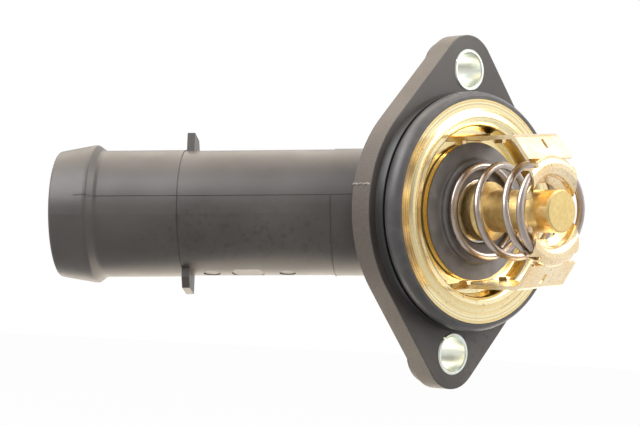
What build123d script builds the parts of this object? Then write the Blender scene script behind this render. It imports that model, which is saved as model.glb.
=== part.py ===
from build123d import *
import math
import os

# Engine thermostat in a moulded housing, in millimetres.
# Origin: centre of the flange's mounting face, on the valve axis.
# +X runs along the valve axis towards the engine, +Z along the line of bolts.
# The hose neck leaves the back of the flange at an angle, towards -X and -Y.

# Flange
BOLT_SPACING = 70.0
FLANGE_THICKNESS = 6.0
FLANGE_RADIUS = 31.5
EAR_RADIUS = 8.7
BOSS_RADIUS = 7.6
BOSS_DEPTH = 9.0
COLLAR_RADIUS = 29.0
COLLAR_DRAFT = 0.5
COLLAR_HEIGHT = 2.0
FLANGE_EDGE_ROUND = 0.2
BOSS_CHAMFER = 0.6
EDGE_BREAK = 0.4

# Round chamber behind the valve, centred where the neck's axis crosses the valve axis
CHAMBER_RADIUS = 22.5
WALL = 3.0
NECK_JOIN_ROUND = 4.0
PLATE_JOIN_ROUND = 0.5
BORE_JOIN_ROUND = 1.5

# Hose neck: angles in degrees, stations measured from where its axis crosses the valve axis
NECK_ANGLE = 41.3
NECK_ROLL = 5.4
NECK_CROSSING = 2.5
NECK_BORE_RADIUS = 12.6
NECK_RADIUS = 15.5
HOSE_SEAT_RADIUS = 15.72
ROOT_RADIUS = 15.65
NECK_START = 15.0
BORE_START = 10.0
ROOT_END = 32.6
HOSE_SEAT_LENGTH = 20.2
NECK_LENGTH = 101.4
BEAD_FROM_END = 11.4
BEAD_HEIGHT = 1.4
BEAD_BACK = 1.9
BEAD_CREST = 0.8
BEAD_FOOT_ROUND = 1.5
BEAD_BACK_ROUND = 0.5
BEAD_FRONT_ROUND = 1.5
NECK_END_RADIUS = 15.6
NECK_END_ROUND = 0.7

# Two locating tabs on the neck, and the round ejector marks under it
MOULD_TURN = 16.7
TAB_THICKNESS = 1.9
TAB_WIDTH = 8.0
TAB_HEIGHT = 4.0
TAB_CHAMFER = 1.6
TAB_CHAMFER_DROP = 2.4
TAB_SINK = 1.0
MARK_DEPTH = 0.25
MARKS = ((62.9, 2.1), (53.9, 4.0), (44.2, 2.0))

# Bolt sleeves, rolled from strip with an open seam
SLEEVE_WALL = 0.98
SLEEVE_BORE_RADIUS = 4.2
SLEEVE_PROUD = 0.3
SLEEVE_GAP = 0.5
SLEEVE_CHAMFER = 0.25
UPPER_SEAM_ANGLE = 159.0
LOWER_SEAM_ANGLE = 133.0

# Stamped seat flange and its seal
SHEET = 1.0
RIM_RADIUS = 27.6
RIM_FACE = 6.7
RIM_INNER = 25.0
RIDGE_HEIGHT = 0.75
RIDGE_RADIUS = 23.0
RIDGE_SLOPE = 0.85
RIDGE_INNER_SLOPE = 0.4
RIDGE_FALL = 0.2
WALL_TOP_DROP = 0.6
WALL_TOP_RADIUS = 20.7
WALL_FOOT_RADIUS = 20.1
SEAT_FACE = 3.2
SEAT_HOLE_RADIUS = 14.9
SEAT_BEND = 0.15
SEAL_RADIUS = 29.36
SEAL_FOOT_RADIUS = 28.3
SEAL_TOP_RADIUS = 28.1
SEAL_INNER_RADIUS = 25.4
SEAL_LIP = 0.1
SEAL_LIP_RADIUS = 27.35

# Valve disc: a brass plate between two rubber facings that are moulded through its holes
DISC_RADIUS = 17.0
DISC_THICKNESS = 1.9
RUBBER_SKIN = 0.4
CORE_THICKNESS = 1.2
FACING_MARGIN = 0.15
RUBBER_BACK_RADIUS = 10.0
PIN_COUNT = 8
PIN_RADIUS = 0.7
PIN_CIRCLE = 13.4
LAND_MARGIN = 0.85
LAND_HEIGHT = 1.5
RETAINER_RADIUS = 7.9
RETAINER_GAP = 0.2

# Wax element
CUP_RADIUS = 5.1
CUP_WALL = 1.0
CUP_END = 32.5
CUP_FLOOR_THICKNESS = 1.1
SHOULDER_SINK = 0.3
SHOULDER_RADIUS = 7.2
SHOULDER_LENGTH = 3.9
SHOULDER_TAPER = 1.8
SKIRT_RADIUS = 6.2
SKIRT_BORE_RADIUS = 5.2
SKIRT_BEAD = 0.8
SKIRT_BEAD_LENGTH = 1.2
CRIMP_THICKNESS = 1.0
CRIMP_RADIUS = 4.4
GUIDE_FRONT = 4.5
GUIDE_SHOULDER = 6.4
GUIDE_NOSE_LENGTH = 4.0
GUIDE_NOSE_RADIUS = 3.6
WASHER_THICKNESS = 0.8
BOOT_FLANGE = 2.0
BOOT_RADIUS = 3.1
BOOT_LENGTH = 18.7
BOOT_END = 2.0
BOOT_TIP_ROUND = 1.0
PISTON_RADIUS = 1.9
PISTON_CLEARANCE = 0.05
PISTON_TIP_GAP = 0.1

# Main spring
WIRE = 1.85
SPRING_SIDE_GAP = 0.5
SPRING_END_GAP = 0.04
SPRING_ACTIVE_TURNS = 2.41
SPRING_CLOSED_TURN = 0.74
SPRING_START_ANGLE = 214.0

# Spring bridge, on the engine side
BRIDGE_TURN = 7.5
BRIDGE_WIDTH = 15.4
LEG_OUTER = 18.3
BRIDGE_CORNER = 24.5
LEG_SLOPE = 0.8
LEG_BEND = 1.0
FOOT_BEND = 0.5
CAP_SHEET = 0.7
CAP_RADIUS = 13.15
CAP_FACE = 30.8
CAP_BEND = 1.3
CAP_SKIRT = 3.0
THROAT_RADIUS = 8.25
THROAT_DEPTH = 2.5
THROAT_BEND = 0.3
LIP_RADIUS = 6.7
LIP_DEPTH = 3.9
NOTCH_WIDTH = 1.8
NOTCH_TIP = 5.4
NOTCH_HEIGHT = 11.2
FOOT_REACH = 20.2
SLOT_CLEARANCE = 0.1
LEG_SLOT_LENGTH = 2.8
LEG_SLOT_WIDTH = 1.0
LEG_SLOT_SHIFT = 1.0
EAR_START = 5.8
EAR_LENGTH = 2.7
EAR_WIDTH = 1.2
EAR_DEPTH = 0.9

# Piston bridge, on the hose side
PISTON_BRIDGE_WIDTH = 8.0
PISTON_BRIDGE_FOOT = 18.6
PISTON_BRIDGE_LEG = 14.6
PISTON_BRIDGE_WAIST = 10.0
PISTON_BRIDGE_WAIST_X = -8.0
PISTON_BRIDGE_TOP = 5.0
PISTON_BRIDGE_SEAT = -14.1
PISTON_BRIDGE_BEND = 1.4

# Places and sizes that follow from the ones above
BEAD_STATION = NECK_LENGTH - BEAD_FROM_END
TAB_STATION = BEAD_STATION - HOSE_SEAT_LENGTH
SPRING_RADIUS = CAP_RADIUS - CAP_SHEET - SPRING_SIDE_GAP
LAND_RADIUS = SPRING_RADIUS + LAND_MARGIN
CORE_BACK = SEAT_FACE + RUBBER_SKIN
CORE_FRONT = CORE_BACK + CORE_THICKNESS
DISC_FRONT = SEAT_FACE + DISC_THICKNESS
SPRING_SEAT = DISC_FRONT + LAND_HEIGHT
SHOULDER_BACK = SPRING_SEAT - SHOULDER_SINK
SHOULDER_FRONT = SHOULDER_BACK + SHOULDER_LENGTH
TAPER_FRONT = SHOULDER_FRONT + SHOULDER_TAPER
CUP_FLOOR = CUP_END - CUP_FLOOR_THICKNESS
GUIDE_BACK = GUIDE_FRONT - GUIDE_SHOULDER
WASHER_FRONT = GUIDE_FRONT + WASHER_THICKNESS
BOOT_FRONT = WASHER_FRONT + BOOT_LENGTH
CAP_UNDERSIDE = CAP_FACE - CAP_SHEET
SPRING_MEAN_RADIUS = SPRING_RADIUS - WIRE / 2
SPRING_FIRST = SPRING_SEAT + SPRING_END_GAP + WIRE / 2
SPRING_LAST = CAP_UNDERSIDE - SPRING_END_GAP - WIRE / 2

VALVE_AXIS = Plane.YZ.location


def on_valve_axis(shape):
    """Place a shape drawn about local Z with its Z along the valve axis."""
    return VALVE_AXIS * shape


def turned(profile):
    """Revolve a closed profile of (radius, station) points about local Z."""
    face = Plane.XZ * make_face(Polyline(*profile, close=True))
    return revolve(face, Axis.Z)


def turned_edges(edges):
    """Revolve a closed chain of edges, drawn as (radius, station), about local Z."""
    return revolve(Plane.XZ * make_face(edges), Axis.Z)


def tube(outer, inner, low, high):
    """A plain ring between two stations on local Z."""
    return turned([(inner, low), (outer, low), (outer, high), (inner, high)])


def sheet_section(points, bends, thickness):
    """Face of a folded strip: points give one surface, bends its inner radii, the sheet lies to the left."""
    points = [Vector(*point) for point in points]
    ways = [(after - before).normalized() for before, after in zip(points, points[1:])]
    lefts = [Vector(-way.Y, way.X) for way in ways]
    back = [points[0] + lefts[0] * thickness]
    radii, back_radii = [], []
    for corner, (bend, way_in, way_out) in enumerate(zip(bends, ways, ways[1:])):
        mitre = (lefts[corner] + lefts[corner + 1]) / (1 + way_in.dot(way_out))
        back.append(points[corner + 1] + mitre * thickness)
        turns_left = way_in.cross(way_out).Z > 0
        radii.append(bend + thickness if turns_left else bend)
        back_radii.append(bend if turns_left else bend + thickness)
    back.append(points[-1] + lefts[-1] * thickness)
    surface = FilletPolyline(*points, radius=radii)
    far_side = FilletPolyline(*back, radius=back_radii)
    ends = [Line(points[0], back[0]), Line(points[-1], back[-1])]
    return make_face(surface.edges() + far_side.edges() + [end.edge() for end in ends])


def neck_place(turn=0.0):
    """Placement whose Z runs out along the hose neck and whose Y is its upper side, turned about Z."""
    tilt = math.radians(NECK_ANGLE)
    roll = math.radians(NECK_ROLL)
    along = (-math.cos(tilt), -math.sin(tilt) * math.cos(roll), -math.sin(tilt) * math.sin(roll))
    across = (math.sin(tilt), -math.cos(tilt) * math.cos(roll), -math.cos(tilt) * math.sin(roll))
    return Plane(origin=(NECK_CROSSING, 0, 0), x_dir=across, z_dir=along).location * Rot(0, 0, turn)


def flange_outline():
    """Round middle and two ears joined by tangents, drawn in the mounting face."""
    rounds = Sketch() + Circle(FLANGE_RADIUS)
    rounds += [Pos(0, side * BOLT_SPACING / 2) * Circle(EAR_RADIUS) for side in (-1, 1)]
    return make_hull(rounds.edges())


def flange_plate():
    """Flange with its raised collar and the two bolt bosses behind the ears."""
    plate = extrude(flange_outline(), -FLANGE_THICKNESS)
    rims = plate.edges().group_by(Axis.Z)
    plate = fillet(rims[0] + rims[-1], FLANGE_EDGE_ROUND)
    boss_depth = BOSS_DEPTH - FLANGE_THICKNESS / 2
    for side in (-1, 1):
        boss = Cylinder(BOSS_RADIUS, boss_depth, align=(Align.CENTER, Align.CENTER, Align.MIN))
        boss = chamfer(boss.edges().group_by(Axis.Z)[0], BOSS_CHAMFER)
        plate += Pos(0, side * BOLT_SPACING / 2, -BOSS_DEPTH) * boss
    sunk = -FLANGE_THICKNESS / 2
    foot = COLLAR_RADIUS + COLLAR_DRAFT
    collar = turned([(0, sunk), (foot, sunk), (foot, 0), (COLLAR_RADIUS, COLLAR_HEIGHT), (0, COLLAR_HEIGHT)])
    return on_valve_axis(plate + collar)


def dome():
    """Round back of the chamber, from inside the flange plate backwards."""
    size = 2 * (CHAMBER_RADIUS + WALL)
    behind = Pos(-FLANGE_THICKNESS / 2 - size / 2, 0, 0) * Box(size, size, size)
    return Pos(NECK_CROSSING, 0, 0) * Sphere(size / 2) & behind


def passage():
    """Room inside the housing: the round chamber and the bore of the hose neck."""
    bore_length = NECK_LENGTH - BORE_START + 1
    bore = Cylinder(NECK_BORE_RADIUS, bore_length, align=(Align.CENTER, Align.CENTER, Align.MIN))
    room = Pos(NECK_CROSSING, 0, 0) * Sphere(CHAMBER_RADIUS) + neck_place() * Pos(0, 0, BORE_START) * bore
    circles = room.edges().filter_by(GeomType.CIRCLE)
    rims = circles.filter_by(lambda edge: edge.radius < CHAMBER_RADIUS)
    return fillet(rims.sort_by_distance((NECK_CROSSING, 0, 0))[0], BORE_JOIN_ROUND)


def neck_outside():
    """Outer form of the hose neck with its coned bead, about local Z."""
    crest = HOSE_SEAT_RADIUS + BEAD_HEIGHT
    crest_start = BEAD_STATION + BEAD_BACK
    crest_end = crest_start + BEAD_CREST
    body = turned([(0, NECK_START), (ROOT_RADIUS, NECK_START), (ROOT_RADIUS, ROOT_END),
                   (NECK_RADIUS, ROOT_END), (NECK_RADIUS, TAB_STATION), (HOSE_SEAT_RADIUS, TAB_STATION),
                   (HOSE_SEAT_RADIUS, BEAD_STATION), (crest, crest_start), (crest, crest_end),
                   (NECK_END_RADIUS, NECK_LENGTH), (0, NECK_LENGTH)])
    rounds = [(HOSE_SEAT_RADIUS, BEAD_STATION, BEAD_FOOT_ROUND), (crest, crest_start, BEAD_BACK_ROUND),
              (crest, crest_end, BEAD_FRONT_ROUND), (NECK_END_RADIUS, NECK_LENGTH, NECK_END_ROUND)]
    for radius, station, size in rounds:
        circles = body.edges().filter_by(GeomType.CIRCLE)
        body = fillet(circles.sort_by_distance((0, radius, station))[0], size)
    return body


def neck_tabs():
    """Two flat tabs on opposite sides of the neck, each with one cut corner."""
    root = NECK_RADIUS - TAB_SINK
    tip = HOSE_SEAT_RADIUS + TAB_HEIGHT
    half = TAB_WIDTH / 2
    outline = make_face(Polyline((half, root), (half, tip), (-half + TAB_CHAMFER, tip),
                                 (-half, tip - TAB_CHAMFER_DROP), (-half, root), close=True))
    tab = Pos(0, 0, TAB_STATION - TAB_THICKNESS) * extrude(outline, TAB_THICKNESS)
    return tab + Rot(0, 0, 180) * tab


def ejector_marks():
    """Shallow round flats left under the neck by the mould's ejector pins."""
    marks = [Pos(0, -NECK_RADIUS + MARK_DEPTH, station) * Rot(90, 0, 0)
             * Cylinder(radius, 4 * MARK_DEPTH, align=(Align.CENTER, Align.CENTER, Align.MIN))
             for station, radius in MARKS]
    return Part() + marks


def neck_join(body):
    """Edge where the dome and the neck meet."""
    crossing = Vector(NECK_CROSSING, 0, 0)
    return [edge for edge in body.edges().filter_by(GeomType.CIRCLE)
            if math.isclose(edge.radius, ROOT_RADIUS, abs_tol=0.01)
            and math.isclose((edge @ 0.5 - crossing).length, CHAMBER_RADIUS + WALL, abs_tol=0.01)]


def plate_join(body):
    """Edges where the dome and the neck meet the back of the flange."""
    flat = body.faces().filter_by(Axis.X)
    backs = flat.filter_by(lambda face: math.isclose(face.center().X, -FLANGE_THICKNESS, abs_tol=0.01))
    contours = backs.sort_by(SortBy.AREA)[-1].inner_wires()
    return contours.sort_by_distance((-FLANGE_THICKNESS, 0, 0))[0].edges()


def housing():
    """Moulded housing: flange, chamber, hose neck, tabs, and the holes through them."""
    body = flange_plate() + dome() + neck_place() * neck_outside()
    body = fillet(neck_join(body), NECK_JOIN_ROUND)
    body = body.fillet(PLATE_JOIN_ROUND, plate_join(body))
    mould = neck_place(MOULD_TURN)
    body += mould * neck_tabs()
    body -= mould * ejector_marks()
    body -= passage()
    hole = Cylinder(SLEEVE_BORE_RADIUS + SLEEVE_WALL, 4 * BOSS_DEPTH)
    for side in (-1, 1):
        body -= on_valve_axis(Pos(0, side * BOLT_SPACING / 2, 0) * hole)
    return body


def bolt_sleeve(side, seam_angle):
    """Steel sleeve rolled from strip, with an open seam, standing a little proud of the flange."""
    outer = SLEEVE_BORE_RADIUS + SLEEVE_WALL
    sleeve = tube(outer, SLEEVE_BORE_RADIUS, -BOSS_DEPTH, SLEEVE_PROUD)
    rims = sleeve.edges().group_by(Axis.Z)
    sleeve = chamfer(rims[0] + rims[-1], SLEEVE_CHAMFER)
    seam = Pos(SLEEVE_BORE_RADIUS, 0, 0) * Box(4 * SLEEVE_WALL, SLEEVE_GAP, 4 * BOSS_DEPTH)
    sleeve -= Rot(0, 0, seam_angle) * seam
    return on_valve_axis(Pos(0, side * BOLT_SPACING / 2, 0) * sleeve)


def seat_flange():
    """Stamped brass flange: flat rim, raised ridge, dished wall and the valve seat with its slots."""
    ridge_top = RIM_FACE + RIDGE_HEIGHT
    ridge_side = ridge_top - RIDGE_FALL
    front = [(RIM_RADIUS, RIM_FACE), (RIM_INNER, RIM_FACE), (RIM_INNER - RIDGE_SLOPE, ridge_side),
             (RIDGE_RADIUS, ridge_top), (WALL_TOP_RADIUS + RIDGE_INNER_SLOPE, ridge_side),
             (WALL_TOP_RADIUS, RIM_FACE - WALL_TOP_DROP), (WALL_FOOT_RADIUS, SEAT_FACE),
             (SEAT_HOLE_RADIUS, SEAT_FACE)]
    section = sheet_section(front, [SEAT_BEND] * (len(front) - 2), SHEET)
    flange = on_valve_axis(revolve(Plane.XZ * section, Axis.Z))
    slot_height = SHEET + FOOT_BEND + 2 * SLOT_CLEARANCE
    slot = Box(2 * SHEET, BRIDGE_WIDTH + 2 * SLOT_CLEARANCE, slot_height)
    for side in (-1, 1):
        place = Pos(SEAT_FACE - SHEET / 2, 0, side * (LEG_OUTER + (FOOT_BEND - SHEET) / 2))
        flange -= Rot(BRIDGE_TURN, 0, 0) * place * slot
    return flange


def flange_seal():
    """Rubber ring on the flange's rim: a groove holds the brass, the outside is rounded."""
    top = RIM_FACE + SEAL_LIP
    widest = (COLLAR_HEIGHT + top) / 2
    groove_back = RIM_FACE - SHEET
    outside = ThreePointArc((SEAL_FOOT_RADIUS, COLLAR_HEIGHT), (SEAL_RADIUS, widest), (SEAL_TOP_RADIUS, top))
    rest = Polyline((SEAL_TOP_RADIUS, top), (SEAL_LIP_RADIUS, top), (SEAL_LIP_RADIUS, RIM_FACE),
                    (RIM_RADIUS, RIM_FACE), (RIM_RADIUS, groove_back), (SEAL_INNER_RADIUS, groove_back),
                    (SEAL_INNER_RADIUS, COLLAR_HEIGHT), (SEAL_FOOT_RADIUS, COLLAR_HEIGHT))
    return on_valve_axis(turned_edges((outside + rest).edges()))


def facing_pins():
    """Round pins of rubber through the brass plate, which tie its two facings together."""
    pin = Pos(0, 0, CORE_BACK) * Cylinder(PIN_RADIUS, CORE_THICKNESS,
                                          align=(Align.CENTER, Align.CENTER, Align.MIN))
    return Part() + PolarLocations(PIN_CIRCLE, PIN_COUNT) * pin


def valve_core():
    """Brass plate of the valve, its edge bare between the two rubber facings."""
    return on_valve_axis(tube(DISC_RADIUS, SKIRT_RADIUS, CORE_BACK, CORE_FRONT) - facing_pins())


def valve_rubber():
    """Rubber facings on both sides of the plate, with a raised land that seats the spring."""
    inner = RETAINER_RADIUS + RETAINER_GAP
    edge = DISC_RADIUS - FACING_MARGIN
    front = turned([(inner, CORE_FRONT), (edge, CORE_FRONT), (edge, DISC_FRONT),
                    (LAND_RADIUS + EDGE_BREAK, DISC_FRONT), (LAND_RADIUS, DISC_FRONT + EDGE_BREAK),
                    (LAND_RADIUS, SPRING_SEAT - EDGE_BREAK), (LAND_RADIUS - EDGE_BREAK, SPRING_SEAT),
                    (inner, SPRING_SEAT)])
    back = tube(edge, RUBBER_BACK_RADIUS, SEAT_FACE, CORE_BACK)
    return on_valve_axis(front + back + facing_pins())


def disc_retainer():
    """Ring that clamps the steel disc against the wax cup's skirt."""
    ring = tube(RETAINER_RADIUS, SKIRT_RADIUS, CORE_FRONT, SHOULDER_BACK)
    outer_rim = ring.edges().group_by(Axis.Z)[-1].sort_by(SortBy.RADIUS)[-1]
    return on_valve_axis(fillet(outer_rim, EDGE_BREAK))


def wax_cup():
    """Brass cup: turned end, long barrel, shoulder, and a skirt crimped over the guide."""
    bead_back = CORE_BACK - SKIRT_BEAD_LENGTH
    crimp_back = GUIDE_BACK - CRIMP_THICKNESS
    inner = CUP_RADIUS - CUP_WALL
    outline = [(0, CUP_END), (CUP_RADIUS - EDGE_BREAK, CUP_END), (CUP_RADIUS, CUP_END - EDGE_BREAK),
               (CUP_RADIUS, TAPER_FRONT), (SHOULDER_RADIUS - EDGE_BREAK, SHOULDER_FRONT),
               (SHOULDER_RADIUS, SHOULDER_FRONT - EDGE_BREAK), (SHOULDER_RADIUS, SHOULDER_BACK),
               (SKIRT_RADIUS, SHOULDER_BACK), (SKIRT_RADIUS, CORE_BACK),
               (SKIRT_RADIUS + SKIRT_BEAD, CORE_BACK), (SKIRT_RADIUS + SKIRT_BEAD, bead_back + EDGE_BREAK),
               (SKIRT_RADIUS, bead_back), (SKIRT_RADIUS, GUIDE_BACK), (SKIRT_RADIUS - EDGE_BREAK, crimp_back),
               (CRIMP_RADIUS, crimp_back), (CRIMP_RADIUS, GUIDE_BACK), (SKIRT_BORE_RADIUS, GUIDE_BACK),
               (SKIRT_BORE_RADIUS, SHOULDER_FRONT), (inner, TAPER_FRONT), (inner, CUP_FLOOR), (0, CUP_FLOOR)]
    return on_valve_axis(turned(outline))


def guide_bush():
    """Bush that guides the piston into the cup, with a nose on the hose side."""
    bore = PISTON_RADIUS + PISTON_CLEARANCE
    nose = GUIDE_BACK - GUIDE_NOSE_LENGTH
    outline = [(bore, nose), (GUIDE_NOSE_RADIUS - EDGE_BREAK, nose), (GUIDE_NOSE_RADIUS, nose + EDGE_BREAK),
               (GUIDE_NOSE_RADIUS, GUIDE_BACK), (SKIRT_BORE_RADIUS, GUIDE_BACK),
               (SKIRT_BORE_RADIUS, GUIDE_FRONT), (bore, GUIDE_FRONT)]
    return on_valve_axis(turned(outline))


def backup_washer():
    """Hard washer that keeps the boot from squeezing into the guide's bore."""
    bore = PISTON_RADIUS + PISTON_CLEARANCE
    return on_valve_axis(tube(SKIRT_BORE_RADIUS, bore, GUIDE_FRONT, WASHER_FRONT))


def rubber_boot():
    """Rubber boot round the piston's end, with a flange clamped in the cup."""
    bore = PISTON_RADIUS + PISTON_CLEARANCE
    flange_front = WASHER_FRONT + BOOT_FLANGE
    outline = [(bore, WASHER_FRONT), (SKIRT_BORE_RADIUS, WASHER_FRONT), (SKIRT_BORE_RADIUS, flange_front),
               (BOOT_RADIUS, flange_front), (BOOT_RADIUS, BOOT_FRONT - BOOT_TIP_ROUND),
               (BOOT_RADIUS - BOOT_TIP_ROUND, BOOT_FRONT), (0, BOOT_FRONT),
               (0, BOOT_FRONT - BOOT_END), (bore, BOOT_FRONT - BOOT_END)]
    return on_valve_axis(turned(outline))


def wax_charge():
    """Wax that fills the cup round the boot and pushes the valve open as it melts."""
    flange_front = WASHER_FRONT + BOOT_FLANGE
    inner = CUP_RADIUS - CUP_WALL
    outline = [(BOOT_RADIUS, flange_front), (SKIRT_BORE_RADIUS, flange_front),
               (SKIRT_BORE_RADIUS, SHOULDER_FRONT), (inner, TAPER_FRONT), (inner, CUP_FLOOR),
               (0, CUP_FLOOR), (0, BOOT_FRONT),
               (BOOT_RADIUS - BOOT_TIP_ROUND, BOOT_FRONT), (BOOT_RADIUS, BOOT_FRONT - BOOT_TIP_ROUND)]
    return on_valve_axis(turned(outline))


def piston():
    """Steel pin that stands on the piston bridge while the cup moves along it."""
    tip = BOOT_FRONT - BOOT_END - PISTON_TIP_GAP
    outline = [(0, PISTON_BRIDGE_SEAT), (PISTON_RADIUS, PISTON_BRIDGE_SEAT),
               (PISTON_RADIUS, tip - EDGE_BREAK), (PISTON_RADIUS - EDGE_BREAK, tip), (0, tip)]
    return on_valve_axis(turned(outline))


def piston_bridge():
    """Folded brass strip behind the valve that holds the piston's fixed end."""
    foot = SEAT_FACE - SHEET
    half = [(PISTON_BRIDGE_SEAT, PISTON_BRIDGE_TOP), (PISTON_BRIDGE_WAIST_X, PISTON_BRIDGE_WAIST),
            (foot, PISTON_BRIDGE_LEG), (foot, PISTON_BRIDGE_FOOT)]
    points = [(x, -y) for x, y in reversed(half)] + half
    section = sheet_section(points, [PISTON_BRIDGE_BEND] * (len(points) - 2), SHEET)
    strip = extrude(section, PISTON_BRIDGE_WIDTH / 2, both=True)
    return Rot(BRIDGE_TURN, 0, 0) * strip


def bridge_cap():
    """Round cap of the spring bridge with a deep funnel in its middle, cut off by two flats."""
    face = [(CAP_RADIUS, CAP_FACE - CAP_SKIRT), (CAP_RADIUS, CAP_FACE), (THROAT_RADIUS, CAP_FACE),
            (THROAT_RADIUS, CAP_FACE - THROAT_DEPTH), (LIP_RADIUS, CAP_FACE - LIP_DEPTH)]
    section = sheet_section(face, [CAP_BEND, CAP_BEND, THROAT_BEND], CAP_SHEET)
    cap = on_valve_axis(revolve(Plane.XZ * section, Axis.Z))
    return cap & Box(4 * CAP_FACE, BRIDGE_WIDTH, 4 * CAP_RADIUS)


def bridge_leg():
    """One leg of the spring bridge: hooked foot, straight run with two bent-in ears, bend to the cap."""
    foot = SEAT_FACE - 2 * SHEET
    inside = LEG_OUTER - SHEET
    end = CAP_UNDERSIDE - CAP_BEND
    points = [(foot, FOOT_REACH), (foot, inside), (BRIDGE_CORNER, inside),
              (end, inside - (end - BRIDGE_CORNER) / LEG_SLOPE)]
    section = sheet_section(points, [FOOT_BEND, LEG_BEND], SHEET)
    leg = extrude(Plane.XZ * section, BRIDGE_WIDTH / 2, both=True)
    ear = Box(EAR_LENGTH, EAR_WIDTH, EAR_DEPTH + SHEET / 2, align=(Align.MIN, Align.CENTER, Align.MIN))
    ear = fillet(ear.edges().filter_by(Axis.Y).group_by(Axis.Z)[0], EDGE_BREAK)
    for side in (-1, 1):
        leg += Pos(EAR_START, side * (BRIDGE_WIDTH - EAR_WIDTH) / 2, inside - EAR_DEPTH) * ear
    return leg


def edge_notch():
    """Cutter for one pair of round-ended notches in the strip's edges, where a leg meets the cap."""
    tip = NOTCH_TIP + NOTCH_WIDTH / 2
    end = Cylinder(NOTCH_WIDTH / 2, 4 * CAP_BEND)
    open_side = Pos(0, BRIDGE_WIDTH / 2, 0) * Box(NOTCH_WIDTH, BRIDGE_WIDTH - 2 * tip, 4 * CAP_BEND)
    notch = Pos(0, tip, 0) * end + open_side
    notches = notch + mirror(notch, Plane.XZ)
    return on_valve_axis(Pos(0, NOTCH_HEIGHT, CAP_UNDERSIDE) * Rot(0, 0, 90) * notches)


def spring_bridge():
    """Brass bridge that holds the spring: two hooked legs and a round cap with a funnel."""
    leg = bridge_leg()
    legs = leg + Rot(180, 0, 0) * leg
    spring_room = Cylinder(CAP_RADIUS - CAP_SHEET, CAP_UNDERSIDE - DISC_FRONT,
                           align=(Align.CENTER, Align.CENTER, Align.MAX))
    legs -= on_valve_axis(Pos(0, 0, CAP_UNDERSIDE) * spring_room)
    bridge = legs + bridge_cap()
    rise = (LEG_OUTER - CAP_RADIUS) / 2
    slope = math.degrees(math.atan(1 / LEG_SLOPE))
    slot = Box(LEG_SLOT_LENGTH, LEG_SLOT_WIDTH, 6 * SHEET)
    for side in (-1, 1):
        place = Pos(BRIDGE_CORNER + rise * LEG_SLOPE, side * LEG_SLOT_SHIFT, side * (LEG_OUTER - rise))
        bridge -= place * Rot(0, side * slope, 0) * slot
        bridge -= Rot(90 - 90 * side, 0, 0) * edge_notch()
    return Rot(BRIDGE_TURN, 0, 0) * bridge


def main_spring():
    """Coil spring with a closed turn at each end, between the disc's land and the cap."""
    height = SPRING_LAST - SPRING_FIRST
    closed = 360 * SPRING_CLOSED_TURN
    helix = Helix(height / SPRING_ACTIVE_TURNS, height, SPRING_MEAN_RADIUS)
    first = CenterArc((0, 0, 0), SPRING_MEAN_RADIUS, -closed, closed)
    last_start = 360 * SPRING_ACTIVE_TURNS
    last = Pos(0, 0, height) * CenterArc((0, 0, 0), SPRING_MEAN_RADIUS, last_start, closed)
    coil = Part()
    for path in (first, helix, last):
        edge = path.edges()[0]
        section = Plane(origin=edge @ 0, z_dir=edge % 0) * Circle(WIRE / 2)
        coil += sweep(section, path=edge, is_frenet=True)
    for joint in (helix @ 0, helix @ 1):
        coil += Pos(*joint) * Sphere(WIRE / 2)
    return on_valve_axis(Pos(0, 0, SPRING_FIRST) * Rot(0, 0, SPRING_START_ANGLE) * coil)


def build_parts():
    """Make every sub-part under its own name."""
    return {
        "housing": housing(),
        "upper_bolt_sleeve": bolt_sleeve(1, UPPER_SEAM_ANGLE),
        "lower_bolt_sleeve": bolt_sleeve(-1, LOWER_SEAM_ANGLE),
        "flange_seal": flange_seal(),
        "seat_flange": seat_flange(),
        "piston_bridge": piston_bridge(),
        "piston": piston(),
        "spring_bridge": spring_bridge(),
        "main_spring": main_spring(),
        "valve_core": valve_core(),
        "valve_rubber": valve_rubber(),
        "disc_retainer": disc_retainer(),
        "wax_cup": wax_cup(),
        "wax_charge": wax_charge(),
        "rubber_boot": rubber_boot(),
        "guide_bush": guide_bush(),
        "backup_washer": backup_washer(),
    }


os.makedirs("parts", exist_ok=True)
for name, shape in build_parts().items():
    export_step(shape, f"parts/{name}.step")
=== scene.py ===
"""Engine thermostat: the looks of its moulded housing, brass valve pack, spring and seal.

The frame is that of the solids, in metres: the origin is the centre of the mounting face, +X runs along
the valve axis towards the engine and +Z along the line of the bolts. The sizes of the housing, the spring
and the camera are written in mm, and those of the materials, the floor and the lamps in metres.
"""

import logging
import math
from dataclasses import dataclass
from enum import Enum

import bmesh
import bpy
import numpy as np
from mathutils import Matrix, Vector

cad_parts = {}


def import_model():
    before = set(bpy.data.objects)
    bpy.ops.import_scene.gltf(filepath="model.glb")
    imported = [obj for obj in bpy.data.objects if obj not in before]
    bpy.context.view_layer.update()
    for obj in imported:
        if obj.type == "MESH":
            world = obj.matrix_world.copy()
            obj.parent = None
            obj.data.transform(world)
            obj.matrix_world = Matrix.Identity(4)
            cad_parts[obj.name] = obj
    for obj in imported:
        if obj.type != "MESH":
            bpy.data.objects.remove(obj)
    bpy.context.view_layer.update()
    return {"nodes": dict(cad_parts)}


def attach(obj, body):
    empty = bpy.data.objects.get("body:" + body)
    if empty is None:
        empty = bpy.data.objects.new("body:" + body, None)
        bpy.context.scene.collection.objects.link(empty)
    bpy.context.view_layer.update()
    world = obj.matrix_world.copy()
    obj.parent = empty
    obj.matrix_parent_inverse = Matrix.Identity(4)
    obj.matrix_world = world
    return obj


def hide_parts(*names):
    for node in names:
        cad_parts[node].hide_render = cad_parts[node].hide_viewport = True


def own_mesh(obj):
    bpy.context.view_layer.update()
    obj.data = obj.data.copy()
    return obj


Socket = bpy.types.NodeSocket
MM = 0.001
FRAME_BODY = "frame"
LOG = logging.getLogger("thermostat")
# Points of a mesh closer than this, in metres, are one
MERGE_DISTANCE = 1e-7
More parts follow.
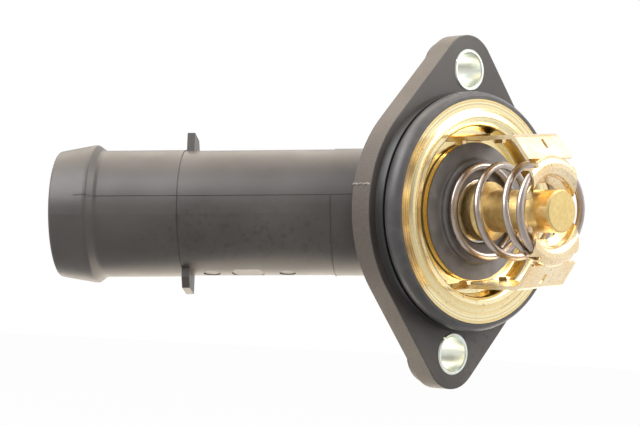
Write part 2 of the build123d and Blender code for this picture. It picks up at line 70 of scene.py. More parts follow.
# Points of an outline closer than this, in mm, are one
SAME_POINT = 1e-6
# The most of an edge that the arc at one of its ends may take
CORNER_SHARE = 0.499
# Section of a moulded ridge: two feet sunk in the wall and a flat top
HAT_RISE = np.array([-0.7, 1.0, 1.0, -0.7])
HAT_WIDTH = np.array([-0.5, -0.18, 0.18, 0.5])


class Sides(Enum):
    """Whether the rows of a grid of points close on themselves."""

    OPEN = False
    LOOP = True


class Ease(Enum):
    """How a value runs from one end of a range to the other."""

    STRAIGHT = "LINEAR"
    SMOOTH = "SMOOTHSTEP"


def grid_faces(rows: int, columns: int, sides: Sides) -> np.ndarray:
    """Corner numbers of the quads of a grid of points.

    Args:
        rows: number of rows.
        columns: points in each row.
        sides: whether each row closes on itself.

    Returns:
        An array of quads; quad (i, j) joins points (i, j), (i + 1, j), (i + 1, j + 1) and (i, j + 1).
    """
    across = np.arange(columns if sides.value else columns - 1)
    i, j = np.meshgrid(np.arange(rows - 1), across, indexing="ij")
    here, beyond, after = i * columns, (i + 1) * columns, (j + 1) % columns
    return np.stack([here + j, beyond + j, beyond + after, here + after], -1).reshape(-1, 4)


def surface(name: str, points: np.ndarray, sides: Sides, caps: tuple = (),
            crease: float = 35.0) -> bpy.types.Object:
    """Make a smooth-shaded mesh object from a grid of points.

    Args:
        name: name of the piece.
        points: array of rows x columns x 3, in metres.
        sides: whether each row closes on itself.
        caps: extra faces, each a list of point numbers.
        crease: angle in degrees past which an edge shades sharp.

    Returns:
        The linked object, at the origin, with outward normals and no point twice.
    """
    rows, columns = points.shape[:2]
    faces = grid_faces(rows, columns, sides).tolist() + [list(cap) for cap in caps]
    mesh = bpy.data.meshes.new(name)
    mesh.from_pydata(points.reshape(-1, 3).tolist(), [], faces)
    work = bmesh.new()
    work.from_mesh(mesh)
    bmesh.ops.remove_doubles(work, verts=work.verts, dist=MERGE_DISTANCE)
    bmesh.ops.recalc_face_normals(work, faces=work.faces)
    work.to_mesh(mesh)
    work.free()
    mesh.polygons.foreach_set("use_smooth", np.ones(len(mesh.polygons), dtype=bool))
    mesh.set_sharp_from_angle(angle=math.radians(crease))
    piece = bpy.data.objects.new(name, mesh)
    bpy.context.scene.collection.objects.link(piece)
    return piece


def rounded(corners: np.ndarray, steps: int = 6) -> np.ndarray:
    """Round the corners of an open polyline.

    A corner P with radius r is left at distance t = r / tan(half the inside angle), and the arc is the
    rational quadratic with weight sin(half the inside angle), which is an exact circle.

    Args:
        corners: rows of (station along the neck, distance from its axis, corner radius), in mm.
        steps: points per arc.

    Returns:
        The points of the rounded line, in mm, with no point twice.
    """
    places, radii = corners[:, :2], corners[:, 2:3]
    before, after = np.roll(places, 1, 0) - places, np.roll(places, -1, 0) - places
    before_length = np.linalg.norm(before, axis=1, keepdims=True)
    after_length = np.linalg.norm(after, axis=1, keepdims=True)
    before, after = before / before_length, after / after_length
    half = np.arccos(np.clip((before * after).sum(1, keepdims=True), -1, 1)) / 2
    reach = np.minimum(radii / np.tan(half), CORNER_SHARE * np.minimum(before_length, after_length))
    reach[[0, -1]] = 0
    s = np.linspace(0, 1, steps)[None, :, None]
    weight = np.sin(half)[:, None, :]
    start, end = (places + before * reach)[:, None], (places + after * reach)[:, None]
    middle = places[:, None]
    top = (1 - s) ** 2 * start + 2 * s * (1 - s) * weight * middle + s ** 2 * end
    line = (top / ((1 - s) ** 2 + 2 * s * (1 - s) * weight + s ** 2)).reshape(-1, 2)
    moved = np.linalg.norm(np.diff(line, axis=0), axis=1) > SAME_POINT
    return line[np.concatenate([[True], moved])]


def ripple(x: np.ndarray, waves: tuple) -> np.ndarray:
    """Sum of sines: height * sin(pace * x + shift) over waves of (height, pace, shift)."""
    return sum(height * np.sin(pace * x + shift) for height, pace, shift in waves)


@dataclass(frozen=True)
class Patches:
    """Patches cut from noise by a ramp.

    The noise has features of about 1 / scale metres. The amount is the least one up to the noise value at
    which a patch starts, and the most where it is full.
    """

    scale: float
    detail: float
    start: float
    full: float
    most: float = 1.0
    least: float = 0.0


@dataclass(frozen=True)
class Uneven:
    """Noise that takes a level down and up: its features per metre, its detail and both distances."""

    scale: float
    detail: float
    down: float
    up: float


@dataclass(frozen=True)
class Relief:
    """Bumps of noise: their features per metre, their detail and their depth in metres."""

    scale: float
    detail: float
    depth: float


class Wiring:
    """A node tree, with short ways to add its nodes."""

    def __init__(self, tree: bpy.types.NodeTree) -> None:
        """Hold the tree's nodes and links."""
        self.nodes = tree.nodes
        self.links = tree.links

    def feed(self, entry: Socket, value: object) -> None:
        """Link an input to a socket, or set its value."""
        if isinstance(value, Socket):
            self.links.new(value, entry)
        else:
            entry.default_value = value

    def add(self, kind: str, feeds: dict | None = None, **settings) -> bpy.types.Node:
        """Add a node.

        Args:
            kind: the node's type without its ShaderNode prefix.
            feeds: input name or number to the socket or value that feeds it.
            settings: properties of the node.

        Returns:
            The new node.
        """
        node = self.nodes.new("ShaderNode" + kind)
        for key, value in settings.items():
            setattr(node, key, value)
        for key, value in (feeds or {}).items():
            self.feed(node.inputs[key], value)
        return node

    def math(self, operation: str, first: object, second: object = 0.0) -> Socket:
        """One Math node."""
        return self.add("Math", {0: first, 1: second}, operation=operation).outputs[0]

    def along(self, place: Socket, way: tuple) -> Socket:
        """How far a place lies along a direction: their dot product."""
        return self.add("VectorMath", {0: place, 1: way}, operation="DOT_PRODUCT").outputs["Value"]

    def stretch(self, value: Socket, given: tuple, wanted: tuple = (0.0, 1.0),
                ease: Ease = Ease.STRAIGHT) -> Socket:
        """Map a value from one range to another, and hold it at the ends.

        Args:
            value: the value.
            given: both ends of its range.
            wanted: both ends of the new range, as numbers or sockets.
            ease: how the new value runs between them.

        Returns:
            The new value.
        """
        feeds = {"Value": value, "From Min": given[0], "From Max": given[1],
                 "To Min": wanted[0], "To Max": wanted[1]}
        return self.add("MapRange", feeds, interpolation_type=ease.value).outputs["Result"]

    def rays(self) -> tuple[Socket, Socket]:
        """Whether a ray comes from the camera, and whether it comes from a mirror or through glass."""
        path = self.add("LightPath").outputs
        return path["Is Camera Ray"], self.math("MAXIMUM", path["Is Glossy Ray"], path["Is Transmission Ray"])


class Recipe(Wiring):
    """A new material, with short ways to make its patterns."""

    def __init__(self, name: str) -> None:
        """Start a material that holds one Principled shader."""
        self.material = bpy.data.materials.new(name)
        self.material.use_nodes = True
        super().__init__(self.material.node_tree)
        self.shader = self.nodes["Principled BSDF"]
        self.place = self.add("TexCoord").outputs["Object"]

    def noise(self, scale: float, detail: float, at: Socket | None = None) -> Socket:
        """Noise value from 0 to 1 with features of about 1 / scale metres."""
        feeds = {"Vector": at or self.place, "Scale": scale, "Detail": detail}
        return self.add("TexNoise", feeds).outputs["Fac"]

    def patches(self, kind: Patches, at: Socket | None = None) -> Socket:
        """The amount of patches at a place."""
        node = self.add("ValToRGB", {"Fac": self.noise(kind.scale, kind.detail, at)})
        stops = ((kind.start, kind.least), (kind.full, kind.most))
        for element, (position, amount) in zip(node.color_ramp.elements, stops):
            element.position = position
            element.color = (amount, amount, amount, 1)
        return node.outputs["Color"]

    def uneven(self, level: float, kind: Uneven, at: Socket | None = None) -> Socket:
        """A level that noise takes down and up."""
        noise = self.noise(kind.scale, kind.detail, at)
        return self.stretch(noise, (0.0, 1.0), (level - kind.down, level + kind.up))

    def relief(self, kind: Relief, under: Socket | None = None, at: Socket | None = None,
               mask: Socket | None = None) -> Socket:
        """Bumps of noise.

        Args:
            kind: the noise and its depth.
            under: a relief that these bumps lie over.
            at: coordinates of the noise, where they aren't the place itself.
            mask: amount from 0 to 1 that the noise is multiplied by.

        Returns:
            The normal.
        """
        height = self.noise(kind.scale, kind.detail, at)
        if mask is not None:
            height = self.math("MULTIPLY", height, mask)
        feeds = {"Height": height, "Distance": kind.depth, "Strength": 1.0}
        if under is not None:
            feeds["Normal"] = under
        return self.add("Bump", feeds).outputs["Normal"]

    def blend(self, amount: object, first: object, second: object) -> Socket:
        """Mix two colours by an amount."""
        return self.add("MixRGB", {"Fac": amount, "Color1": first, "Color2": second}).outputs["Color"]

    def parts(self) -> bpy.types.bpy_prop_collection:
        """The place's X, Y and Z."""
        return self.add("SeparateXYZ", {0: self.place}).outputs

    def lathe_place(self) -> Socket:
        """Coordinates (x, distance from the valve axis, 0) for marks left by turning."""
        parts = self.parts()
        across = self.math("SQRT", self.math("ADD", self.math("MULTIPLY", parts["Y"], parts["Y"]),
                                             self.math("MULTIPLY", parts["Z"], parts["Z"])))
        return self.add("CombineXYZ", {0: parts["X"], 1: across}).outputs[0]

    def between(self, low: float, high: float) -> Socket:
        """One where the X coordinate lies between two stations in metres, else zero."""
        station = self.parts()["X"]
        return self.math("MULTIPLY", self.math("GREATER_THAN", station, low),
                         self.math("LESS_THAN", station, high))

    def finish(self, feeds: dict) -> bpy.types.Material:
        """Feed the Principled shader and return the material."""
        for key, value in feeds.items():
            self.feed(self.shader.inputs[key], value)
        return self.material


@dataclass(frozen=True)
class MouldedPlastic:
    """Glass-filled black plastic: satin mould faces, and a dull textured edge round the flange."""

    name: str = "housing_plastic"
    dark: tuple = (0.049, 0.042, 0.038, 1)
    light: tuple = (0.077, 0.068, 0.063, 1)
    stain: tuple = (0.029, 0.024, 0.022, 1)
    sheen: float = 0.40
    edge_dark: tuple = (0.079, 0.063, 0.052, 1)
    edge_light: tuple = (0.115, 0.094, 0.077, 1)
    edge_stations: tuple = (-0.0059, -0.0001)
    edge_dullness: float = 0.14
    # Painted shade: a blacker colour for the collar, standing in for the shade it lies in
    collar_painted_shade: tuple = (0.016, 0.015, 0.015, 1)
    collar_shade_stations: tuple = (0.0001, 0.0009)
    stain_heights: tuple = (0.001, -0.007)
    clouds: Patches = Patches(55.0, 4.0, 0.35, 0.70)
    stains: Patches = Patches(620.0, 6.0, 0.51, 0.66, 0.5)
    stained_areas: Patches = Patches(36.0, 2.0, 0.40, 0.58)
    speckle: Patches = Patches(3200.0, 3.0, 0.36, 0.66)
    gloss: Uneven = Uneven(140.0, 3.0, 0.07, 0.08)
    grain: Relief = Relief(3200.0, 2.0, 0.000015)
    texture: Relief = Relief(2600.0, 3.0, 0.00006)
    waves: Relief = Relief(90.0, 1.0, 0.00006)
    refraction: float = 1.5

    def make(self) -> bpy.types.Material:
        """Build the material: clouds, stains low down, uneven gloss, a dull edge and painted shade on the
        collar, a blacker colour there.
        """
        r = Recipe(self.name)
        parts = r.parts()
        edge = r.between(*self.edge_stations)
        low_down = r.stretch(parts["Z"], self.stain_heights)
        stained = r.math("MULTIPLY", r.patches(self.stains),
                         r.math("MULTIPLY", low_down, r.patches(self.stained_areas)))
        face = r.blend(stained, r.blend(r.patches(self.clouds), self.dark, self.light), self.stain)
        # Painted shade: the collar between these X stations is blackened
        face = r.blend(r.stretch(parts["X"], self.collar_shade_stations), face, self.collar_painted_shade)
        rim = r.blend(r.patches(self.speckle), self.edge_dark, self.edge_light)
        rough = r.math("ADD", r.uneven(self.sheen, self.gloss), r.math("MULTIPLY", edge, self.edge_dullness))
        texture = r.relief(self.texture, r.relief(self.grain), mask=edge)
        return r.finish({"Base Color": r.blend(edge, face, rim), "Roughness": rough,
                         "Normal": r.relief(self.waves, texture), "IOR": self.refraction})


@dataclass(frozen=True)
class Rubber:
    """Moulded rubber with a faint bloom and a fine grain."""

    name: str
    tone: tuple
    roughness: float
    grain: Relief = Relief(4200.0, 2.0, 0.00001)
    bloom: Patches = Patches(240.0, 4.0, 0.45, 0.80)
    bloom_gain: float = 1.6
    gloss: Uneven = Uneven(500.0, 2.0, 0.06, 0.10)

    def make(self) -> bpy.types.Material:
        """Build the material."""
        r = Recipe(self.name)
        pale = tuple(self.bloom_gain * channel for channel in self.tone[:3]) + (1,)
        return r.finish({"Base Color": r.blend(r.patches(self.bloom), self.tone, pale),
                         "Roughness": r.uneven(self.roughness, self.gloss), "Normal": r.relief(self.grain)})


@dataclass(frozen=True)
class PressRingsAndPaintedBands:
    """The rings round the valve axis: painted reflection bands of soft tone, fine dark lines that are partly
    pressing marks and partly painted reflection bands, and the relief that pressing leaves.
    """

    # Painted reflection bands: pale and plain tones in rings round the valve axis
    painted_band_tones: Patches = Patches(700.0, 3.0, 0.36, 0.62)
    lines: Patches = Patches(2300.0, 3.0, 0.53, 0.66, 0.55)
    relief: Relief = Relief(1100.0, 2.0, 0.00006)


@dataclass(frozen=True)
class SheetBrass:
    """Bright rolled brass sheet, with brown specks, faint handling marks and, where it is pressed, rings of
    relief and painted reflection bands.
    """

    name: str = "bridge_brass"
    tone: tuple = (0.92, 0.70, 0.40, 1)
    pale: tuple = (0.97, 0.84, 0.60, 1)
    speck: tuple = (0.55, 0.36, 0.17, 1)
    roughness: float = 0.19
    rings: PressRingsAndPaintedBands | None = None
    clouds: Patches = Patches(120.0, 4.0, 0.35, 0.70)
    specks: Patches = Patches(900.0, 4.0, 0.64, 0.74, 0.8)
    grain: Patches = Patches(2400.0, 4.0, 0.44, 0.72, 0.4)
    gloss: Uneven = Uneven(300.0, 5.0, 0.04, 0.10)
    scuffs: Relief = Relief(1500.0, 3.0, 0.000007)
    dents: Relief = Relief(150.0, 1.0, 0.00004)

    def make(self) -> bpy.types.Material:
        """Build the material; on pressed sheet the painted reflection bands of the rings take the place of
        the clouds.
        """
        r = Recipe(self.name)
        # On pressed sheet these clouds are painted reflection bands round the valve axis
        clouds = r.patches(self.rings.painted_band_tones, r.lathe_place()) if self.rings else r.patches(self.clouds)
        tone = r.blend(r.patches(self.specks), r.blend(clouds, self.tone, self.pale), self.speck)
        tone = r.blend(r.patches(self.grain), tone, self.speck)
        relief = r.relief(self.dents, r.relief(self.scuffs))
        if self.rings:
            # Painted reflection bands: dark rings of speck colour, partly pressing lines
            tone = r.blend(r.patches(self.rings.lines, r.lathe_place()), tone, self.speck)
            relief = r.relief(self.rings.relief, relief, r.lathe_place())
        return r.finish({"Base Color": tone, "Metallic": 1.0, "Normal": relief,
                         "Roughness": r.uneven(self.roughness, self.gloss)})


@dataclass(frozen=True)
class TurnedMetal:
    """Metal turned on a lathe, with fine rings round the valve axis and, where one is given, a faced end."""

    name: str
    tone: tuple
    worn: tuple
    roughness: float
    face: tuple | None = None
    face_station: float = 0.0
    face_mottle: Patches = Patches(1400.0, 6.0, 0.38, 0.62, 1.0, 0.72)
    face_rings: Uneven = Uneven(2400.0, 2.0, 0.28, 0.10)
    tarnish: Patches = Patches(700.0, 6.0, 0.36, 0.68)
    gloss: Uneven = Uneven(2600.0, 2.0, 0.07, 0.10)
    rings: Relief = Relief(5200.0, 3.0, 0.00001)

    def make(self) -> bpy.types.Material:
        """Build the material: rings from noise over (x, radius), cloudy tarnish, the end past a station."""
        r = Recipe(self.name)
        lathe = r.lathe_place()
        tone = r.blend(r.patches(self.tarnish), self.tone, self.worn)
        if self.face is not None:
            mottle = r.math("MULTIPLY", r.patches(self.face_mottle), r.uneven(1.0, self.face_rings, lathe))
            end = r.math("GREATER_THAN", r.parts()["X"], self.face_station)
            tone = r.blend(r.math("MULTIPLY", end, mottle), tone, self.face)
        return r.finish({"Base Color": tone, "Metallic": 1.0, "Normal": r.relief(self.rings, at=lathe),
                         "Roughness": r.uneven(self.roughness, self.gloss, lathe)})


@dataclass(frozen=True)
class PlatedSteel:
    """Steel with a bright, faintly coloured plating: patches of tint, uneven gloss and a very fine grain."""

    name: str
    tone: tuple
    tint: tuple
    roughness: float
    clouds: Patches = Patches(230.0, 3.0, 0.30, 0.70)
    gloss: Uneven = Uneven(500.0, 2.0, 0.04, 0.08)
    grain: Relief = Relief(3600.0, 2.0, 0.000003)

    def make(self) -> bpy.types.Material:
        """Build the material."""
        r = Recipe(self.name)
        return r.finish({"Base Color": r.blend(r.patches(self.clouds), self.tone, self.tint), "Metallic": 1.0,
                         "Roughness": r.uneven(self.roughness, self.gloss), "Normal": r.relief(self.grain)})


@dataclass(frozen=True)
class Wax:
    """Wax with fine specks of copper."""

    name: str = "copper_wax"
    tone: tuple = (0.42, 0.22, 0.10, 1)
    speck: tuple = (0.60, 0.34, 0.16, 1)
    roughness: float = 0.5
    specks: Patches = Patches(2600.0, 2.0, 0.50, 0.62)
    grain: Relief = Relief(1500.0, 2.0, 0.00002)

    def make(self) -> bpy.types.Material:
        """Build the material."""
        r = Recipe(self.name)
        return r.finish({"Base Color": r.blend(r.patches(self.specks), self.tone, self.speck),
                         "Roughness": self.roughness, "Normal": r.relief(self.grain)})


class Finish(Enum):
    """The finishes of the thermostat's pieces."""

    HOUSING = MouldedPlastic()
    TORN = MouldedPlastic("torn_plastic", (0.13, 0.112, 0.10, 1), (0.34, 0.30, 0.27, 1), sheen=0.5,
                          edge_dark=(0.13, 0.112, 0.10, 1), edge_light=(0.42, 0.37, 0.33, 1))
    SEAL = Rubber("seal_rubber", (0.060, 0.056, 0.056, 1), 0.37)
    FACING = Rubber("facing_rubber", (0.150, 0.138, 0.134, 1), 0.48, Relief(4200.0, 2.0, 0.00002))
    BOOT = Rubber("boot_rubber", (0.018, 0.018, 0.018, 1), 0.6)
    WASHER = Rubber("white_washer", (0.36, 0.36, 0.34, 1), 0.5)
    SHEET = SheetBrass()
    PLATE = SheetBrass("plate_brass", (0.80, 0.56, 0.18, 1), (0.86, 0.66, 0.28, 1), roughness=0.2)
    PRESSED = SheetBrass("pressed_brass", (0.90, 0.72, 0.36, 1), (0.98, 0.88, 0.56, 1), roughness=0.15,
                         rings=PressRingsAndPaintedBands(), grain=Patches(2400.0, 4.0, 0.44, 0.72, 0.16))
    CUP = TurnedMetal("cup_brass", (0.94, 0.72, 0.34, 1), (0.74, 0.52, 0.20, 1), 0.38,
                      face=(0.62, 0.48, 0.21, 1), face_station=0.0322)
    BUSH = TurnedMetal("bush_brass", (0.80, 0.62, 0.28, 1), (0.64, 0.46, 0.18, 1), 0.27)
    GROUND = TurnedMetal("pin_steel", (0.62, 0.61, 0.60, 1), (0.5, 0.49, 0.47, 1), 0.25)
    WIRE = PlatedSteel("spring_wire", (0.54, 0.485, 0.45, 1), (0.42, 0.35, 0.31, 1), 0.27)
    ZINC = PlatedSteel("zinc_plating", (0.78, 0.86, 0.83, 1), (0.76, 0.74, 0.60, 1), 0.32)
    WAX = Wax()

    def material(self) -> bpy.types.Material:
        """The finish's material, built once."""
        return bpy.data.materials.get(self.value.name) or self.value.make()


def dress(piece: bpy.types.Object, finish: Finish) -> None:
    """Give every slot of a piece one finish, and report the piece."""
    piece.data.materials.clear()
    piece.data.materials.append(finish.material())
    LOG.info("%s in %s", piece.name, finish.value.name)


@dataclass
class Camera:
    """The photograph's camera: its place and sensor in mm, its lens in pixels, its clip range in metres."""

    place: tuple = (341.44, -360.66, -31.13)
    right: tuple = (0.67789, 0.73256, 0.06177)
    up: tuple = (0.00046, -0.08444, 0.99643)
    focal_pixels: float = 2019.0
    frame_pixels: float = 640.0
    sensor_width: float = 36.0
    clip: tuple = (0.01, 50.0)

    def build(self) -> None:
        """Make the camera the scene's own."""
        data = bpy.data.cameras.new("photo_camera")
        data.sensor_fit = "HORIZONTAL"
        data.sensor_width = self.sensor_width
        data.lens = self.focal_pixels / self.frame_pixels * self.sensor_width
        data.clip_start, data.clip_end = self.clip
        right, up = Vector(self.right).normalized(), Vector(self.up).normalized()
        back = right.cross(up)
        turn = Matrix((right, back.cross(right), back)).transposed()
        camera = bpy.data.objects.new("photo_camera", data)
        camera.matrix_world = Matrix.Translation(Vector(self.place) * MM) @ turn.to_4x4()
        bpy.context.scene.collection.objects.link(camera)
        bpy.context.scene.camera = camera


@dataclass(frozen=True)
class Lamp:
    """A square soft lamp: its place, side and aim in metres, its power in watts and its tint."""

    name: str
    place: tuple
    side: float
    power: float
    tint: tuple
    aim: tuple = (-0.02, -0.02, 0.0)

    def build(self) -> None:
        """Hang the lamp."""
        data = bpy.data.lights.new(self.name, "AREA")
        data.size, data.energy, data.color = self.side, self.power, self.tint
        lamp = bpy.data.objects.new(self.name, data)
        turn = (Vector(self.aim) - Vector(self.place)).to_track_quat("-Z", "Y").to_matrix().to_4x4()
        lamp.matrix_world = Matrix.Translation(self.place) @ turn
        bpy.context.scene.collection.objects.link(lamp)


@dataclass
class Studio:
    """A floor and surroundings that read white, and soft light.

    A way is a direction, a spread the range of its dot product over which the brightness changes, and
    heights are a range of the Z of a direction. The floor and the lamps are in metres.
    """

    white: tuple = (1, 1, 1, 1)
    floor_height: float = -0.075
    floor_size: float = 6.0
    floor_glow: float = 0.975
    floor_tone: float = 0.20
    floor_roughness: float = 0.9
    floor_back_way: tuple = (-0.735, 0.675, 0.0)
    floor_quiet_reach: tuple = (-0.12, 0.04)
    floor_quiet: float = 0.25
    front_way: tuple = (0.69, -0.72, -0.06)
    front_spread: tuple = (0.35, 0.9)
    front_heights: tuple = (-0.6, 0.5)
    front_quiet: tuple = (0.12, 0.62)
    sky_heights: tuple = (-0.25, 0.7)
    sky_light: float = 0.75
    side_way: tuple = (0.62, 0.72, 0.31)
    side_spread: tuple = (0.2, 0.95)
    side_light: float = 1.5
    lamps: tuple = (
        Lamp("top_lamp", (-0.42, 0.05, 0.72), 0.9, 5.4, (1.0, 0.87, 0.68)),
        Lamp("right_lamp", (0.45, 0.35, 0.45), 0.5, 5.0, (1.0, 0.97, 0.93)),
        Lamp("left_lamp", (-0.14, -0.72, 0.55), 0.7, 9.4, (0.97, 0.97, 1.0)),
        Lamp("table_lamp", (-0.122, 0.058, -0.0735), 0.2, 0.28, (1.0, 0.87, 0.68), (-0.122, 0.058, 1.0)),
    )

    def world(self) -> None:
        """White surroundings for the camera, and the same in reflections, with a quieter and darker front.

        The soft light that falls on the object grows from nothing below the horizon to the sky's level
        high up, with more of it from the valve's far side.
        """
        world = bpy.data.worlds.new("studio")
        world.use_nodes = True
        bpy.context.scene.world = world
        tree = Wiring(world.node_tree)
        seen, mirrored = tree.rays()
        way = tree.add("TexCoord").outputs["Generated"]
        height = tree.add("SeparateXYZ", {0: way}).outputs["Z"]
        front, side = tree.along(way, self.front_way), tree.along(way, self.side_way)
        quiet = tree.stretch(height, self.front_heights, self.front_quiet)
        around = tree.stretch(front, self.front_spread, (1.0, quiet), Ease.SMOOTH)
        soft = tree.math("ADD", tree.stretch(height, self.sky_heights, (0.0, self.sky_light)),
                         tree.stretch(side, self.side_spread, (0.0, self.side_light), Ease.SMOOTH))
        strength = tree.add("Mix", {"Factor": tree.math("MAXIMUM", seen, mirrored), "A": soft,
                                    "B": tree.math("MAXIMUM", seen, around)})
        background = tree.nodes["Background"]
        tree.feed(background.inputs["Color"], self.white)
        tree.feed(background.inputs["Strength"], strength.outputs["Result"])

    def floor(self) -> None:
        """A pale floor that reads white, mirrors quieter in front of the object, and keeps its shadow."""
        reach = self.floor_size / 2
        grid = np.array([[(-reach, -reach), (-reach, reach)], [(reach, -reach), (reach, reach)]])
        points = np.concatenate([grid, np.full((2, 2, 1), self.floor_height)], -1)
        floor = surface("studio_floor", points, Sides.OPEN)
        r = Recipe("studio_floor")
        r.finish({"Base Color": (self.floor_tone,) * 3 + (1,), "Roughness": self.floor_roughness})
        seen, mirrored = r.rays()
        behind = r.along(r.place, self.floor_back_way)
        quiet = r.stretch(behind, self.floor_quiet_reach, (self.floor_quiet, 1.0))
        white = r.math("MAXIMUM", seen, r.math("MULTIPLY", mirrored, quiet))
        glow = r.add("Emission", {"Color": self.white, "Strength": 1.0})
        mix = r.add("MixShader", {0: r.math("MULTIPLY", white, self.floor_glow), 1: r.shader.outputs[0],
                                  2: glow.outputs[0]})
        r.feed(r.nodes["Material Output"].inputs["Surface"], mix.outputs[0])
        floor.data.materials.append(r.material)

    def build(self) -> None:
        """Build the world, the floor and the lamps."""
        self.world()
        self.floor()
        for lamp in self.lamps:
            lamp.build()
        bpy.context.scene.view_settings.view_transform = "Standard"


@dataclass
class NeckAxis:
    """The hose neck's own directions, in degrees, and where its axis crosses the valve axis, in mm."""

    crossing: float = 2.5
    tilt: float = 41.3
    roll: float = 5.4
    mould_turn: float = 16.7

    def directions(self) -> tuple[np.ndarray, np.ndarray, np.ndarray]:
        """Unit vectors along the neck, across it in the mould's parting plane, and square to that plane."""
        tilt, roll, turn = map(math.radians, (self.tilt, self.roll, self.mould_turn))
        level, rolled = math.cos(roll), math.sin(roll)
        along = np.array([-math.cos(tilt), -math.sin(tilt) * level, -math.sin(tilt) * rolled])
        across = np.array([math.sin(tilt), -math.cos(tilt) * level, -math.cos(tilt) * rolled])
        upper = np.cross(along, across)
        return (along, math.cos(turn) * across + math.sin(turn) * upper,
                math.cos(turn) * upper - math.sin(turn) * across)

    def origin(self) -> np.ndarray:
        """The point that stations along the neck are counted from."""
        return np.array([self.crossing, 0, 0])


@dataclass
class Housing:
    """The moulded housing, the fine flash that its mould left, and its two bolt sleeves.

    Lengths are in mm and angles in degrees. Stations count along the neck from where its axis crosses
    the valve axis, and those of the flange along the valve axis. A torn ridge's width and rise are each
    a least value and what its waves add to it.
    """

    axis: NeckAxis
    mouth_station: float = 95.0
    mouth_radius: float = 16.72
    crest_stations: tuple = (92.7, 91.9)
    crest_radius: float = 17.12
    seat_stations: tuple = (90.0, 69.8)
    seat_radius: float = 15.72
    bead_round: float = 1.5
    crest_round: float = 0.5
    wall_radius: float = 15.5
    root_station: float = 32.6
    root_radius: float = 15.65
    root_end: float = 24.3
    root_fillet: float = 4.0
    dome_radius: float = 25.5
    dome_end: float = 109.5
    fillet_points: int = 8
    dome_points: int = 40
    flash_width: float = 0.38
    flash_height: float = 0.13
    flash_crease: float = 20.0
    root_points: int = 96
    flange_radius: float = 31.5
    flange_stations: tuple = (-5.9, -0.15)
    torn_points: int = 60
    torn_mean: float = 0.5
    torn_waves: tuple = ((0.3, 5.1, 0.0), (0.2, 13.7, 1.0))
    torn_drift: tuple = ((0.12, 3.3, 0.0), (0.07, 9.1, 0.0))
    torn_width: tuple = (0.40, 0.45)
    torn_rise: tuple = (0.04, 0.26)
    near_tear: float = 3.9
    far_tear: float = -4.9

    def neck_line(self) -> np.ndarray:
        """Outline of the neck as (station, radius) rows, from its mouth in to its root."""
        (crest_out, crest_in), (seat_out, seat_in) = self.crest_stations, self.seat_stations
        return rounded(np.array([
            (self.mouth_station, self.mouth_radius, 0), (crest_out, self.crest_radius, self.bead_round),
            (crest_in, self.crest_radius, self.crest_round), (seat_out, self.seat_radius, self.bead_round),
            (seat_in, self.seat_radius, 0), (seat_in, self.wall_radius, 0),
            (self.root_station, self.wall_radius, 0), (self.root_station, self.root_radius, 0),
            (self.root_end, self.root_radius, 0)]))

    def dome_line(self) -> np.ndarray:
        """Outline of the root fillet and the dome behind it: two arcs, as (station, radius) rows."""
        reach, height = self.dome_radius + self.root_fillet, self.root_radius + self.root_fillet
        centre = np.array([math.sqrt(reach ** 2 - height ** 2), height])
        join = math.atan2(centre[1], centre[0])
        turn = np.linspace(-math.pi / 2, join - math.pi, self.fillet_points)
        fillet = centre + self.root_fillet * np.stack([np.cos(turn), np.sin(turn)], -1)
        sweep = np.linspace(join, math.radians(self.dome_end), self.dome_points)[1:]
        return np.concatenate([fillet, self.dome_radius * np.stack([np.cos(sweep), np.sin(sweep)], -1)])

    def ridge(self, name: str, points: np.ndarray, finish: Finish = Finish.HOUSING) -> None:
        """Make a moulded ridge from its sections: rows of four points, in mm."""
        last = 4 * (len(points) - 1)
        caps = (range(4), range(last + 3, last - 1, -1))
        piece = surface(name, points * MM, Sides.LOOP, caps, self.flash_crease)
        dress(piece, finish)
        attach(piece, FRAME_BODY)

    def flash(self, name: str, line: np.ndarray, side: int) -> None:
        """Raise a fine ridge along a line in the parting plane.

        The ridge's section is a low hat: two feet sunk in the wall and a flat top. It is carried along
        the line with its height along the line's outward normal and its width square to the plane.

        Args:
            name: name of the piece.
            line: rows of (station along the neck, distance from its axis), in mm.
            side: 1 for the near side of the neck, -1 for the far side.
        """
        along, across, square = self.axis.directions()
        way = np.gradient(line, axis=0)
        way /= np.linalg.norm(way, axis=1, keepdims=True)
        outward = np.stack([-way[:, 1], way[:, 0]], -1)
        outward *= np.sign((outward * line).sum(1, keepdims=True))
        spots = line[:, None] + outward[:, None] * (HAT_RISE * self.flash_height)[None, :, None]
        wide = (HAT_WIDTH * self.flash_width)[None, :, None]
        points = spots[..., :1] * along + spots[..., 1:] * side * across + wide * square
        self.ridge(name, points + self.axis.origin())

    def root_flash(self) -> None:
        """Raise a fine ridge round the lower half of the neck's root: the hat section on half a circle."""
        along, across, square = self.axis.directions()
        turn = np.linspace(0, math.pi, self.root_points)[:, None]
        outward = np.cos(turn) * across - np.sin(turn) * square
        radius = (self.root_radius + HAT_RISE * self.flash_height)[None, :, None]
        station = (self.root_station + HAT_WIDTH * self.flash_width)[None, :, None]
        self.ridge("root_flash_line", station * along + radius * outward[:, None] + self.axis.origin())

    def torn_flash(self, name: str, height: float, side: int) -> None:
        """Raise a torn ridge of flash across the flange's edge.

        Its width and height wander along X by sums of sines; its feet are sunk in the flange's round edge.

        Args:
            name: name of the piece.
            height: place along Z, in mm.
            side: sign of Y.
        """
        x = np.linspace(*self.flange_stations, self.torn_points)[:, None]
        torn = self.torn_mean + ripple(x, self.torn_waves)
        spread = self.torn_width[0] + self.torn_width[1] * torn
        wide = HAT_WIDTH * spread + ripple(x, self.torn_drift) + height
        rise = HAT_RISE * (self.torn_rise[0] + self.torn_rise[1] * torn)
        out = np.sqrt(self.flange_radius ** 2 - wide ** 2) + rise
        self.ridge(name, np.stack([np.broadcast_to(x, wide.shape), side * out, wide], -1), Finish.TORN)

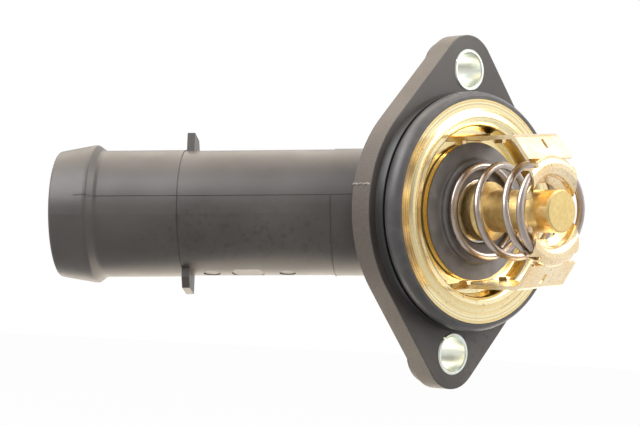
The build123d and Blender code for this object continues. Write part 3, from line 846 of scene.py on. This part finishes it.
    def build(self, nodes: dict) -> None:
        """Dress the housing and the sleeves, and add the flash."""
        dress(nodes["housing"], Finish.HOUSING)
        dress(nodes["upper_bolt_sleeve"], Finish.ZINC)
        dress(nodes["lower_bolt_sleeve"], Finish.ZINC)
        near = self.neck_line()
        self.flash("near_flash_line", near, 1)
        self.flash("far_flash_line", np.concatenate([near[:-1], self.dome_line()]), -1)
        self.root_flash()
        self.torn_flash("near_flange_flash", self.near_tear, -1)
        self.torn_flash("far_flange_flash", self.far_tear, 1)


@dataclass
class MainSpring:
    """The coil spring, in mm and degrees: closed turns at both ends and open turns between them."""

    wire: float = 1.85
    mean_radius: float = 11.025
    seat: float = 6.6
    underside: float = 30.1
    end_gap: float = 0.04
    start_angle: float = 214.0
    closed_turn: float = 0.74
    active_turns: float = 2.41
    bend: float = 0.06
    lift: float = 8.0
    path_steps: int = 560
    round_steps: int = 20
    crease: float = 50.0

    def build(self, nodes: dict) -> None:
        """Carry the wire's circle along the coil.

        The coil's angle grows steadily; its station is level over each closed turn and rises in proportion
        to the angle between them, with a smooth bend. The circle stands square to the path.
        """
        open_turns, bend = self.active_turns, self.bend
        turns = np.linspace(-self.closed_turn, open_turns + self.closed_turn, self.path_steps)
        rise = (np.sqrt(turns ** 2 + bend ** 2) - np.sqrt((turns - open_turns) ** 2 + bend ** 2)
                + open_turns) / (2 * open_turns)
        first = self.seat + self.end_gap + self.wire / 2
        last = self.underside - self.end_gap - self.wire / 2
        angle = np.radians(self.start_angle) + 2 * math.pi * turns
        path = np.stack([first + (last - first) * np.clip(rise, 0, 1), self.mean_radius * np.cos(angle),
                         self.mean_radius * np.sin(angle)], -1)
        way = np.gradient(path, axis=0)
        way /= np.linalg.norm(way, axis=1, keepdims=True)
        out = np.stack([np.zeros_like(angle), np.cos(angle), np.sin(angle)], -1)
        up = np.cross(way, out)
        turn = np.linspace(0, 2 * math.pi, self.round_steps, endpoint=False)[None, :, None]
        rim = self.wire / 2 * (np.cos(turn) * out[:, None] + np.sin(turn) * up[:, None])
        end = self.round_steps * (self.path_steps - 1)
        caps = (range(self.round_steps), range(end + self.round_steps - 1, end - 1, -1))
        piece = surface("coil_spring", (path[:, None] + rim) * MM, Sides.LOOP, caps, self.crease)
        dress(piece, Finish.WIRE)
        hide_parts("main_spring")
        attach(piece, FRAME_BODY)
        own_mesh(piece)


@dataclass
class ValvePack:
    """The brass seat flange with its seal, the bridges and the moving valve."""

    def build(self, nodes: dict) -> None:
        """Dress every piece of the valve pack."""
        finishes = {"flange_seal": Finish.SEAL, "seat_flange": Finish.PRESSED, "piston_bridge": Finish.SHEET,
                    "spring_bridge": Finish.SHEET, "piston": Finish.GROUND, "valve_core": Finish.PLATE,
                    "valve_rubber": Finish.FACING, "disc_retainer": Finish.GROUND, "wax_cup": Finish.CUP,
                    "wax_charge": Finish.WAX, "rubber_boot": Finish.BOOT, "guide_bush": Finish.BUSH,
                    "backup_washer": Finish.WASHER}
        for node, finish in finishes.items():
            dress(nodes[node], finish)


def main() -> None:
    """Build the camera, the studio and every piece."""
    logging.basicConfig(level=logging.INFO, format="%(name)s: %(message)s")
    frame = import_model()
    Camera().build()
    Studio().build()
    for assembly in (Housing(NeckAxis()), ValvePack(), MainSpring()):
        assembly.build(frame["nodes"])
        LOG.info("%s built", type(assembly).__name__)


if __name__ == "__main__":
    main()
